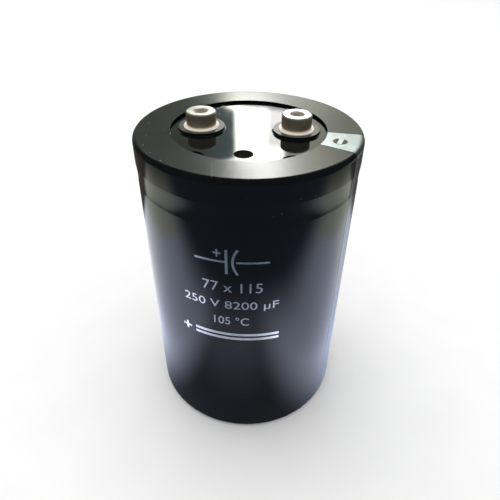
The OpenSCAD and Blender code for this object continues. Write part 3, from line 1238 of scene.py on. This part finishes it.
@dataclass
class RatingPrint:
    """The generic print on the front: a capacitor symbol, plain figures and a plus with bands.

    Lengths are in millimetres. A bar is given by its middle, its width and its height.

    Attributes:
        radius: Radius of the sleeve.
        thick: Thickness of the print.
        sunk: How deep it reaches into the film.
        strip: Width of the flat strips that a mark is laid round the sleeve in.
        lines: The lines of figures.
        symbol_at: Direction and height of the symbol's middle.
        symbol_bars: Its leads, its straight plate and its plus.
        curved_plate: Where the curved plate's crown stands, its radius, half its angle in
            radians and its width.
        plus_at: Direction and height of the middle of the plus with its bands.
        plus_bars: The plus and its bands.
        finish: Finish of the ink.
    """

    radius: float = 38.3
    thick: float = 0.03
    sunk: float = 0.005
    strip: float = 0.8
    lines: tuple[PrintedLine, ...] = (
        PrintedLine("77 x 115", -93.1, 77.0, 19.8, 4.0),
        PrintedLine("250 V 8200 µF", -94.4, 69.0, 32.9, 4.1),
        PrintedLine("105 °C", -93.7, 62.1, 12.0, 3.6),
    )
    symbol_at: tuple[float, float] = (-93.4, 87.3)
    symbol_bars: tuple[Bar, ...] = (
        (-6.9, 0, 10.2, 0.7), (-1.45, 0, 0.9, 9.4), (6.9, 0, 10.4, 0.7),
        (-4.4, 3.1, 2.6, 0.6), (-4.4, 3.95, 0.6, 1.1), (-4.4, 2.25, 0.6, 1.1))
    curved_plate: tuple[float, float, float, float] = (0.95, 7.5, 0.66, 0.8)
    plus_at: tuple[float, float] = (-95.2, 54.6)
    plus_bars: tuple[Bar, ...] = (
        (-16.0, 0, 3.6, 0.85), (-16.0, 1.11, 0.85, 1.37), (-16.0, -1.11, 0.85, 1.37),
        (2.6, 0.9, 30.0, 1.1), (2.6, -1.1, 30.0, 1.1))
    finish: InkFinish = InkFinish("rating_ink", (0.95, 0.95, 0.93), 0.24, metal=1.0, mottle=0.16)

    def build(self) -> None:
        """Makes each printed mark and wraps it on the sleeve."""
        material = self.finish.build()
        for number, line in enumerate(self.lines, 1):
            figures = self.wrapped(self.figures(line), line.azimuth, line.height)
            finished(figures, f"print_line_{number}", material, "stripe_ink")
        bars = [self.bar(*bar) for bar in self.symbol_bars]
        symbol = self.wrapped(joined([*bars, self.bow(*self.curved_plate)]), *self.symbol_at)
        finished(symbol, "print_symbol", material, "stripe_ink")
        plus = self.wrapped(joined([self.bar(*bar) for bar in self.plus_bars]), *self.plus_at)
        finished(plus, "print_plus_side", material, "stripe_ink")

    def figures(self, line: PrintedLine) -> bpy.types.Object:
        """Flat figures, as wide and tall as a line asks.

        Args:
            line: The line.

        Returns:
            The figures as a mesh, centred on the origin.
        """
        deselect_all()
        bpy.ops.object.text_add()
        text = bpy.context.object.data
        text.body = line.words
        text.align_x, text.align_y = "CENTER", "CENTER"
        text.size = 1
        text.resolution_u = 6
        bpy.ops.object.convert(target="MESH")
        piece = bpy.context.object
        low, high = mesh_span(piece)
        middle, size = (low + high) / 2, high - low
        for vertex in piece.data.vertices:
            vertex.co = Vector(((vertex.co.x - middle.x) * line.width / size.x * MM,
                                (vertex.co.y - middle.y) * line.tall / size.y * MM, 0))
        return piece

    def bar(self, x: float, y: float, wide: float, tall: float) -> bpy.types.Object:
        """A flat bar.

        Args:
            x: Place of its middle to the right, in millimetres.
            y: Place of its middle upwards.
            wide: Its width.
            tall: Its height.

        Returns:
            The bar as a mesh.
        """
        middle = (x * MM, y * MM, 0)
        deselect_all()
        bpy.ops.mesh.primitive_plane_add(size=1, location=middle)
        with edit_mode():
            bpy.ops.transform.resize(value=(wide * MM, tall * MM, 1), center_override=middle)
        settle_place()
        return bpy.context.object

    def bow(self, x: float, radius: float, reach: float, wide: float) -> bpy.types.Object:
        """A flat curved plate, a piece of a ring that bows to the left.

        Args:
            x: Place of its crown to the right, in millimetres.
            radius: Its inside radius.
            reach: Half the angle over which it reaches, in radians.
            wide: Its width.

        Returns:
            The plate as a mesh.
        """
        centre = Vector(((x + radius) * MM, 0, 0))
        arm = direction(math.pi - reach) * MM
        deselect_all()
        bpy.ops.mesh.primitive_plane_add(size=MM)
        with edit_mode():
            bpy.ops.mesh.merge(type="CENTER")
            bpy.ops.transform.translate(value=centre + arm * radius)
            bpy.ops.mesh.extrude_vertices_move(TRANSFORM_OT_translate={"value": arm * wide})
            bpy.ops.mesh.select_all(action="SELECT")
            bpy.ops.mesh.spin(steps=20, angle=2 * reach, center=centre, axis=SPIN_AXIS)
        settle_place()
        return bpy.context.object

    def wrapped(self, mark: bpy.types.Object, azimuth: float, height: float) -> bpy.types.Object:
        """Cuts a flat mark into narrow strips, thickens it and lays it round the sleeve.

        Args:
            mark: The flat mark, centred on the origin.
            azimuth: Direction of its middle, in degrees.
            height: Height of its middle, in millimetres.

        Returns:
            The wrapped piece.
        """
        make_active(mark)
        low, high = mesh_span(mark)
        step = self.strip * MM
        with edit_mode():
            for i in range(1, math.ceil((high.x - low.x) / step)):
                bpy.ops.mesh.select_all(action="SELECT")
                bpy.ops.mesh.bisect(plane_co=(low.x + i * step, 0, 0), plane_no=(1, 0, 0))
            bpy.ops.mesh.select_all(action="SELECT")
            bpy.ops.mesh.remove_doubles(threshold=0.002 * MM)
            bpy.ops.mesh.normals_make_consistent(inside=False)
        apply_modifier(mark, "SOLIDIFY", thickness=self.thick * MM, offset=0)
        for vertex in mark.data.vertices:
            turn = math.radians(azimuth) + vertex.co.x / (self.radius * MM)
            out = (self.radius + self.thick / 2 - self.sunk) * MM + vertex.co.z
            vertex.co = direction(turn) * out + Vector((0, 0, height * MM + vertex.co.y))
        tidy_mesh(mark)
        settle(mark, 60)
        return mark


@dataclass
class ThreadedTerminal:
    """A terminal post with a screw thread cut into its plain hole.

    The thread is a metric one whose crests are the plain hole's wall. Lengths are in
    millimetres.

    Attributes:
        node: The CAD node of the post.
        slot: The record's material slot of its metal.
        axis_x: Where its axis stands on X.
        top: Height of its top.
        crest_r: Radius of the plain hole.
        root_r: Radius of the thread's roots.
        pitch: Pitch of the thread.
        depth: Depth of the cut.
        rows: Number of the tool's rows in one pitch.
        around: Number of its sides.
        crest: Share of half a pitch that the crest takes.
        flank: Share of it that the flank takes.
        mouth: Height over which the thread fades at the hole's mouth.
        under: How far the tool's bar stays under the hole's wall.
        foot: Height under which the metal is matt and painted pale as a highlight.
        colour: Colour of the metal.
        rough: Its roughness.
    """

    node: str
    slot: str
    axis_x: float
    top: float = 120.4
    crest_r: float = 2.1
    root_r: float = 2.5
    pitch: float = 0.8
    depth: float = 10.4
    rows: int = 10
    around: int = 64
    crest: float = 0.12
    flank: float = 0.76
    mouth: float = 0.15
    under: float = 0.02
    foot: float = 115.92
    colour: Colour = (0.93, 0.88, 0.79)
    rough: float = 0.36

    def build(self) -> None:
        """Cuts the thread into a copy of the terminal and dresses it."""
        piece = self.copied()
        tidy_mesh(piece, 0.001)
        cutter = self.tap()
        apply_modifier(piece, "BOOLEAN", operation="DIFFERENCE", solver="EXACT", object=cutter)
        bpy.data.objects.remove(cutter)
        tidy_mesh(piece)
        settle(piece, 32)
        finish = TurnedFinish(self.node + "_metal", self.colour, self.rough, axis_x=self.axis_x,
                              foot=self.foot)
        finished(piece, self.node + "_threaded", finish.build(), self.slot, self.node)

    def copied(self) -> bpy.types.Object:
        """A free copy of the CAD node with a mesh of its own and no imported normals.

        Returns:
            The copy.
        """
        source = cad_node(self.node)
        deselect_all()
        piece = source.copy()
        piece.data = source.data.copy()
        bpy.context.scene.collection.objects.link(piece)
        for key in [k for k in piece.keys() if k.startswith("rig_")]:
            del piece[key]
        piece.parent = None
        make_active(piece)
        if piece.data.has_custom_normals:
            bpy.ops.mesh.customdata_custom_splitnormals_clear()
        return piece

    def tap(self) -> bpy.types.Object:
        """The tool that cuts the thread: a bar with the thread's roots standing out of it.

        Returns:
            The tool as a mesh.
        """
        low, rows = self.top - self.depth, round(self.depth / self.pitch * self.rows)
        middle = (self.axis_x * MM, 0, (low + self.depth / 2) * MM)
        deselect_all()
        bpy.ops.mesh.primitive_cylinder_add(vertices=self.around, radius=self.crest_r * MM,
                                            depth=self.depth * MM, location=middle)
        settle_place()
        with edit_mode():
            for i in range(1, rows):
                bpy.ops.mesh.select_all(action="SELECT")
                bpy.ops.mesh.bisect(plane_co=(0, 0, (low + self.depth * i / rows) * MM),
                                    plane_no=(0, 0, 1))
        tool = bpy.context.object
        for vertex in tool.data.vertices:
            x, y, z = vertex.co.x / MM - self.axis_x, vertex.co.y / MM, vertex.co.z / MM
            scale = self.tap_radius(math.atan2(y, x) / math.tau, z) / math.hypot(x, y)
            vertex.co = Vector(((self.axis_x + x * scale) * MM, y * scale * MM, vertex.co.z))
        return tool

    def tap_radius(self, turn: float, z: float) -> float:
        """Radius of the tool at a place.

        Args:
            turn: Direction of the place, in turns.
            z: Height of the place, in millimetres.

        Returns:
            The radius, in millimetres.
        """
        wave = abs((((self.top - z) / self.pitch + turn) % 1) * 2 - 1)
        cut = clamped((wave - self.crest) / self.flank)
        fade = clamped((z - self.top + self.depth) / self.pitch)
        fade *= clamped((self.top - z) / self.mouth)
        bar_r = self.crest_r - self.under
        return bar_r + (self.root_r - bar_r) * cut * fade


def clamped(value: float) -> float:
    """A value held between 0 and 1."""
    return min(1, max(0, value))


@dataclass
class PlainNodes:
    """The CAD nodes that keep their own shape and get their finish here.

    Attributes:
        finishes: The finish of each node.
        foil_finish: The finish of the tabs and the washers.
        foil: The nodes in that finish; the last row is shown by new pieces.
    """

    finishes: dict[str, Finish] = field(default_factory=lambda: {
        "can": DrawnFinish("drawn_can", (0.78, 0.79, 0.80), 0.34),
        "deck": MouldedFinish(
            "polished_deck", (0.0035, 0.0042, 0.0042), 0.05, depth=0.0001, slow=0.1, dust=0.25,
            hairs=((-13.15, 18.23, -11.9, 20.0), (-11.9, 20.0, -11.03, 22.22),
                   (-11.9, 13.1, -11.6, 13.4), (12.14, 19.79, 13.05, 21.58),
                   (-22.4, -15.2, -21.2, -14.5)),
            pads=115.4),
        "deck_gasket": MouldedFinish("ring_rubber", (0.012, 0.012, 0.012), 0.7, depth=0.03),
        "vent_plug": MouldedFinish("plug_rubber", (0.003, 0.003, 0.003), 0.75, depth=0.03,
                                   gloss=0.08),
        "bottom_disc": MouldedFinish("base_disc_plastic", (0.05, 0.055, 0.06), 0.5, depth=0.02,
                                     slow=0.25),
        "winding": WoundFinish("winding_layers", (0.72, 0.68, 0.60), 0.75),
        "closing_tape": MouldedFinish("closing_tape_film", (0.80, 0.66, 0.32), 0.4, depth=0.015,
                                      slow=0.12),
        "lower_spacer": MouldedFinish("lower_spacer_plastic", (0.85, 0.85, 0.82), 0.45,
                                      slow=0.05),
        "upper_spacer": MouldedFinish("upper_spacer_plastic", (0.85, 0.85, 0.82), 0.45,
                                      slow=0.05),
        "anchoring_compound": MouldedFinish("poured_pitch", (0.035, 0.028, 0.022), 0.3,
                                            depth=0.08, slow=0.3),
    })
    foil_finish: DrawnFinish = DrawnFinish("soft_foil", (0.82, 0.82, 0.83), 0.3)
    foil: tuple[str, ...] = (
        "positive_tab_inner", "positive_tab_middle", "positive_tab_outer", "positive_washer",
        "negative_tab_inner", "negative_tab_middle", "negative_tab_outer", "negative_washer",
        "sleeve", "polarity_stripe", "positive_terminal", "negative_terminal")

    def build(self) -> None:
        """Dresses every CAD node."""
        for name, finish in self.finishes.items():
            dress(cad_node(name), finish.build())
            LOG.info("node %s: %s", name, finish.name)
        material = self.foil_finish.build()
        for name in self.foil:
            dress(cad_node(name), material)
            LOG.info("node %s: %s", name, self.foil_finish.name)


# ---------------------------------------------------------------- studio


@dataclass
class GlossCard:
    """A piece of the studio that only the gloss sees, and that glows as its light says.

    Lengths are in metres.

    Attributes:
        name: Name of the piece.
        material: Name of its material.
        radius: Its radius.
        heading: Direction in which the camera looks, in degrees about the can's axis.
        ceiling: What the gloss sees of the room above and in front.
    """

    name: str
    material: str
    radius: float
    heading: float
    ceiling: Colour

    def build(self) -> None:
        """Adds the piece, lets it glow and hides it from all but the gloss."""
        deselect_all()
        self.add()
        card = bpy.context.object
        card.name = self.name
        dress(card, self.glow())
        settle(card)
        for ray in ("visible_camera", "visible_diffuse", "visible_shadow", "visible_transmission"):
            setattr(card, ray, False)

    def glow(self) -> bpy.types.Material:
        """A material that glows as the light says.

        Returns:
            The material.
        """
        material = bpy.data.materials.new(self.material)
        material.use_nodes = True
        nodes = material.node_tree.nodes
        nodes.remove(nodes["Principled BSDF"])
        make = Nodes(material.node_tree)
        turn = (0, 0, math.radians(90 - self.heading))
        place = make.add("Mapping", {"Vector": make.coordinates(), "Rotation": turn},
                         vector_type="POINT")
        light = self.light(make, *make.parts(place.outputs[0]))
        glow = make.add("Emission", {"Color": light, "Strength": 1.0})
        make.feed(nodes["Material Output"].inputs["Surface"], glow.outputs[0])
        return material

    def add(self) -> None:
        """Adds the piece's mesh."""
        raise NotImplementedError

    def light(self, make: Nodes, x: object, y: object, z: object) -> object:
        """The light of each place on the piece.

        Args:
            make: The material's builder.
            x: Place to the camera's right, in metres.
            y: Place away from the camera.
            z: Height.

        Returns:
            The light's socket.
        """
        raise NotImplementedError


@dataclass
class TableCard(GlossCard):
    """The table just under the floor: paper round the part, its shadow in front, dark beyond.

    An edge is where a change starts and ends, in metres. The part's axis is at 0, to the right
    and away from the camera is more.

    Attributes:
        near_paper: The pale paper close beside the part.
        paper_step: Step to the paper further beside it.
        back_step: Step to the paper behind it.
        beside_steps: Steps to the table on both sides and to its dark end.
        shadow_turn: Cosine and sine of the angle at which the shadow lies.
        shadow_edge: Along the shadow, where it fades.
        shadow_light: Light in the shadow at that edge's start and end.
        shadow_side: From the shadow's middle, where its side lies.
        shadow_start: Along the shadow, where it starts.
        shadow_clear: Light beside the shadow.
        shadow_shift: How far its middle lies to the side.
        shade: The dark table in front.
        shade_edge: Where it ends.
        shade_slope: How that edge runs back to both sides.
        behind: The table behind the part, at the left and at the right.
        behind_edge: Where it starts.
        behind_slope: How that edge runs forward to both sides.
        right_edge: Where its left part gives way to its right part.
        far_edge: Where the table ends.
        level: Height of the table card, just under the floor.
    """

    near_paper: Colour = (1.344, 1.464, 1.86)
    paper_step: LightStep = LightStep((0.050, 0.080), (1.12, 1.22, 1.55))
    back_step: LightStep = LightStep((0.004, 0.040), (1.26, 1.30, 1.42))
    beside_steps: tuple[LightStep, ...] = (LightStep((0.140, 0.172), (1.0, 1.04, 0.9)),
                                           LightStep((0.196, 0.260), (0.25, 0.25, 0.18)))
    shadow_turn: tuple[float, float] = (0.985, 0.17)
    shadow_edge: Edge = (0.045, 0.095)
    shadow_light: Edge = (0.08, 0.38)
    shadow_side: Edge = (0.026, 0.060)
    shadow_start: Edge = (0.010, -0.015)
    shadow_clear: float = 0.97
    shadow_shift: float = -0.002
    shade: Colour = (0.07, 0.10, 0.14)
    shade_edge: Edge = (-0.140, -0.074)
    shade_slope: float = 0.24
    behind: tuple[Colour, Colour] = ((0.10, 0.08, 0.075), (0.8, 0.78, 0.72))
    behind_edge: Edge = (0.124, 0.146)
    behind_slope: float = 0.2
    right_edge: Edge = (0.265, 0.300)
    far_edge: Edge = (0.34, 0.60)
    level: float = -0.0004

    def add(self) -> None:
        """Adds a disc."""
        bpy.ops.mesh.primitive_circle_add(vertices=96, radius=self.radius, fill_type="NGON",
                                          location=(0, 0, self.level))

    def light(self, make: Nodes, x: object, y: object, z: object) -> object:
        """The table's light.

        Args:
            make: The material's builder.
            x: Place to the camera's right, in metres.
            y: Place away from the camera.
            z: Height.

        Returns:
            The light's socket.
        """
        side = make.math("ABSOLUTE", x)
        light = make.ramp(side, self.near_paper, self.paper_step)
        light = make.ramp(y, light, self.back_step)
        light = make.ramp(side, light, *self.beside_steps)
        light = make.blend(self.shadow(make, x, y), BLACK, light)
        front = make.minus(y, make.times(side, self.shade_slope))
        light = make.blend(make.span(front, *self.shade_edge), self.shade, light)
        back = make.plus(y, make.times(side, self.behind_slope))
        behind = make.blend(make.span(x, *self.right_edge), *self.behind)
        light = make.blend(make.span(back, *self.behind_edge), light, behind)
        far = make.span(make.reach(x, y), *self.far_edge)
        return make.blend(far, light, self.ceiling)

    def shadow(self, make: Nodes, x: object, y: object) -> object:
        """How much light the part's shadow leaves.

        Args:
            make: The material's builder.
            x: Place to the camera's right, in metres.
            y: Place away from the camera.

        Returns:
            The share's socket, from 0 to 1.
        """
        cosine, sine = self.shadow_turn
        across = make.plus(make.times(x, cosine), make.times(y, -sine))
        along = make.plus(make.times(x, -sine), make.times(y, -cosine))
        deep = make.span(along, *self.shadow_edge, *self.shadow_light)
        beside = make.math("ABSOLUTE", make.minus(across, self.shadow_shift))
        clear = make.most(make.span(beside, *self.shadow_side),
                          make.span(along, *self.shadow_start))
        return make.plus(deep, make.times(clear, make.minus(self.shadow_clear, deep)))


@dataclass
class RoomWall(GlossCard):
    """The round wall of the room: dim, with the window behind the part and a brighter wall.

    An edge is where a change starts and ends, in degrees: turn is measured to the right of the
    camera's heading, and rise up from the top of the part.

    Attributes:
        height: Height of the wall, in metres.
        level: Height of the part's top, in metres.
        wall: Light of the wall at the far left.
        turn_steps: Steps of its light to the right.
        low_edge: Rise under which the window is dimmer and wider.
        high_edge: Rise over which it fades to the left.
        ledge: Light of the ledge under the window.
        ledge_edges: Turns where the ledge starts and where it ends.
        lift_edge: Rise over which the wall gets brighter.
        lift: How much brighter it gets.
        end_turn: Turn to both sides where the wall gives way to the ceiling.
        end_rise: Rise where it does.
        pane: Light of the window.
        low_pane: Its light under the low edge.
        left_edge: Turn of its left side.
        left_shift: How much further left that side lies under the low and over the high edge.
        right_edge: Turn of its right side.
        right_shift: How much further left that side lies under the low edge.
        top_edge: Rise of its top.
        bottom_edge: Rise of its lower side.
        fade_edge: Turns between which its light over the high edge comes up.
        fade: Share of its light at both.
        dim_turn: Turn over which its right part is dimmed.
        dim_rise: Rise up to which it is.
        dim: How much it is dimmed.
    """

    height: float = 4.0
    level: float = 0.115
    wall: Colour = (0.25, 0.26, 0.215)
    turn_steps: tuple[LightStep, ...] = (
        LightStep((-9, -4), (0.33, 0.43, 0.43)), LightStep((4, 5), (1.7, 1.75, 1.5)),
        LightStep((7, 9), (1.4, 1.45, 1.2)), LightStep((8.5, 13), (0.80, 0.83, 0.70)),
        LightStep((13, 40), (0.5, 0.5, 0.45)))
    low_edge: Edge = (19.1, 19.7)
    high_edge: Edge = (25.4, 26.2)
    ledge: Colour = (1.3, 1.35, 1.2)
    ledge_edges: tuple[Edge, Edge] = ((-1, 0), (4.5, 6))
    lift_edge: Edge = (25, 28.5)
    lift: float = 2.9
    end_turn: Edge = (30, 50)
    end_rise: Edge = (33, 40)
    pane: Colour = (14.0, 14.0, 13.58)
    low_pane: Colour = (7.84, 7.84, 5.6)
    left_edge: Edge = (-2.3, -1.2)
    left_shift: tuple[float, float] = (1.5, 3.2)
    right_edge: Edge = (4.3, 5.6)
    right_shift: float = 6.0
    top_edge: Edge = (36, 42)
    bottom_edge: Edge = (14, 16)
    fade_edge: Edge = (-4.6, 5.6)
    fade: Edge = (0.08, 0.95)
    dim_turn: Edge = (1.6, 3.2)
    dim_rise: Edge = (23.6, 25)
    dim: float = 0.62

    def add(self) -> None:
        """Adds an open drum."""
        bpy.ops.mesh.primitive_cylinder_add(vertices=128, radius=self.radius, depth=self.height,
                                            end_fill_type="NOTHING",
                                            location=(0, 0, self.height / 2))

    def light(self, make: Nodes, x: object, y: object, z: object) -> object:
        """The wall's light, with the window in it.

        Args:
            make: The material's builder.
            x: Place to the camera's right, in metres.
            y: Place away from the camera.
            z: Height.

        Returns:
            The light's socket.
        """
        turn = make.degrees(x, y)
        rise = make.degrees(make.minus(z, self.level), self.radius)
        low = make.span(rise, *self.low_edge, 1, 0)
        high = make.span(rise, *self.high_edge)
        wall = make.ramp(turn, self.wall, *self.turn_steps)
        start, end = self.ledge_edges
        ledge = make.times(make.span(turn, *start), make.span(turn, *end, 1, 0), low)
        wall = make.blend(ledge, wall, self.ledge)
        bright = make.span(rise, *self.lift_edge, 1, self.lift)
        wall = make.add("VectorMath", {"Vector": wall, "Scale": bright}, operation="SCALE")
        ends = make.most(make.span(make.math("ABSOLUTE", turn), *self.end_turn),
                         make.span(rise, *self.end_rise))
        wall = make.blend(ends, wall.outputs["Vector"], self.ceiling)
        return make.blend(self.opening(make, turn, rise, low, high), wall,
                          self.window(make, turn, rise, low, high))

    def opening(self, make: Nodes, turn: object, rise: object, low: object,
                high: object) -> object:
        """A mask that is 1 in the window.

        Args:
            make: The material's builder.
            turn: Turn of the place, in degrees.
            rise: Rise of the place, in degrees.
            low: 1 under the low edge.
            high: 1 over the high edge.

        Returns:
            The mask's socket.
        """
        low_shift, high_shift = self.left_shift
        left = make.plus(turn, make.times(low, low_shift), make.times(high, high_shift))
        right = make.plus(turn, make.times(low, self.right_shift))
        return make.times(make.span(left, *self.left_edge),
                          make.span(right, *self.right_edge, 1, 0),
                          make.span(rise, *self.top_edge, 1, 0),
                          make.span(rise, *self.bottom_edge))

    def window(self, make: Nodes, turn: object, rise: object, low: object,
               high: object) -> object:
        """The window's light.

        Args:
            make: The material's builder.
            turn: Turn of the place, in degrees.
            rise: Rise of the place, in degrees.
            low: 1 under the low edge.
            high: 1 over the high edge.

        Returns:
            The light's socket.
        """
        fade = make.plus(make.times(make.span(turn, *self.fade_edge, *self.fade), high),
                         make.minus(1.0, high))
        dim = make.times(make.span(turn, *self.dim_turn),
                         make.span(rise, *self.dim_rise, self.dim, 0))
        pane = make.blend(fade, BLACK, make.blend(low, self.pane, self.low_pane))
        return make.blend(dim, pane, BLACK)


@dataclass
class Studio:
    """The pale floor, the soft light, what the gloss mirrors, and the camera.

    Attributes:
        heading: Direction in which the camera looks, in degrees about the can's axis.
        ceiling: What the gloss sees of the room above and in front.
        room_r: Radius of what the gloss sees, in metres.
        floor_r: Radius of the floor, in metres.
        floor_z: Its height.
        floor_shades: Its colour, from darker to lighter.
        floor_rough: Its roughness.
        floor_gloss: How strongly it mirrors.
        pale: Light of the room for the camera and for all that isn't gloss.
        box_place: Where the soft box hangs, in metres.
        box_size: Side of its square, in metres.
        box_power: Its power, in watts.
        eye: Place of the camera, in millimetres.
        eye_turn: Its turn about X, Y and Z, in degrees.
        lens: Its focal length on a sensor 36 mm wide.
    """

    heading: float = 94.3
    ceiling: Colour = (0.05, 0.06, 0.058)
    room_r: float = 3.0
    floor_r: float = 12.0
    floor_z: float = -0.00002
    floor_shades: tuple[Colour, Colour] = ((0.88, 0.88, 0.88), (0.90, 0.90, 0.90))
    floor_rough: float = 0.9
    floor_gloss: float = 0.1
    pale: Colour = (0.93, 0.93, 0.93)
    box_place: tuple[float, float, float] = (-0.3, 0.5, 1.5)
    box_size: float = 1.4
    box_power: float = 9.0
    eye: tuple[float, float, float] = (11.022, -146.585, 173.754)
    eye_turn: tuple[float, float, float] = (53.2028, -0.5584, 4.3442)
    lens: float = 32.784

    def build(self) -> None:
        """Sets the whole studio up."""
        scene = bpy.context.scene
        scene.view_settings.view_transform = "Standard"
        scene.view_settings.look = "None"
        self.floor()
        shared = (self.room_r, self.heading, self.ceiling)
        TableCard("studio_table_card", "table_card", *shared).build()
        RoomWall("studio_room_wall", "room_wall", *shared).build()
        self.world(scene)
        self.soft_box(scene)
        self.camera(scene)

    def floor(self) -> None:
        """A wide pale floor; the gloss sees the table card under it instead."""
        deselect_all()
        bpy.ops.mesh.primitive_circle_add(vertices=96, radius=self.floor_r, fill_type="NGON",
                                          location=(0, 0, self.floor_z))
        floor = bpy.context.object
        floor.name = "studio_floor"
        material = bpy.data.materials.new("floor_paper")
        material.use_nodes = True
        make = Nodes(material.node_tree)
        shader = material.node_tree.nodes["Principled BSDF"].inputs
        fibre = make.add("TexNoise", {"Vector": make.coordinates(), "Scale": 40, "Detail": 4})
        make.feed(shader["Base Color"], make.blend(make.span(fibre.outputs["Fac"], *DRIFT),
                                                   *self.floor_shades))
        shader["Roughness"].default_value = self.floor_rough
        shader["Specular IOR Level"].default_value = self.floor_gloss
        dress(floor, material)
        floor.visible_glossy = False

    def world(self, scene: bpy.types.Scene) -> None:
        """A dark ceiling for the gloss, and even pale light for the rest and for the camera.

        Args:
            scene: The scene.
        """
        world = bpy.data.worlds.new("studio_room")
        scene.world = world
        world.use_nodes = True
        make = Nodes(world.node_tree)
        back = world.node_tree.nodes["Background"].inputs
        gloss = make.add("LightPath").outputs["Is Glossy Ray"]
        make.feed(back["Color"], make.blend(gloss, self.pale, self.ceiling))
        back["Strength"].default_value = 1.0

    def soft_box(self, scene: bpy.types.Scene) -> None:
        """A big soft light over the part that the gloss doesn't mirror.

        Args:
            scene: The scene.
        """
        data = bpy.data.lights.new("soft_box_top", "AREA")
        data.shape, data.size, data.energy = "SQUARE", self.box_size, self.box_power
        light = bpy.data.objects.new("soft_box_top", data)
        scene.collection.objects.link(light)
        light.location = self.box_place
        light.rotation_mode = "QUATERNION"
        light.rotation_quaternion = Vector(self.box_place).to_track_quat("Z", "Y")
        light.visible_glossy = False

    def camera(self, scene: bpy.types.Scene) -> None:
        """The camera at the photograph's place and lens.

        Args:
            scene: The scene.
        """
        data = bpy.data.cameras.new("camera")
        data.sensor_width = 36.0
        data.lens = self.lens
        data.clip_start, data.clip_end = 0.005, 50
        camera = bpy.data.objects.new("camera", data)
        scene.collection.objects.link(camera)
        camera.location = Vector(self.eye) * MM
        camera.rotation_euler = Euler([math.radians(angle) for angle in self.eye_turn])
        scene.camera = camera


# ---------------------------------------------------------------- the whole part


def main() -> None:
    """Builds the part's looks, in order."""
    logging.basicConfig(level=logging.INFO, format="%(name)s %(message)s")
    FRAME.update(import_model())
    assemblies = [
        Studio(),
        ShrinkSleeve(),
        MinusMark(),
        RatingPrint(),
        ThreadedTerminal("positive_terminal", "terminal_aluminium", -15.9),
        ThreadedTerminal("negative_terminal", "terminal_aluminium", 15.9),
        PlainNodes(),
    ]
    for assembly in assemblies:
        assembly.build()
    deselect_all()


if __name__ == "__main__":
    main()
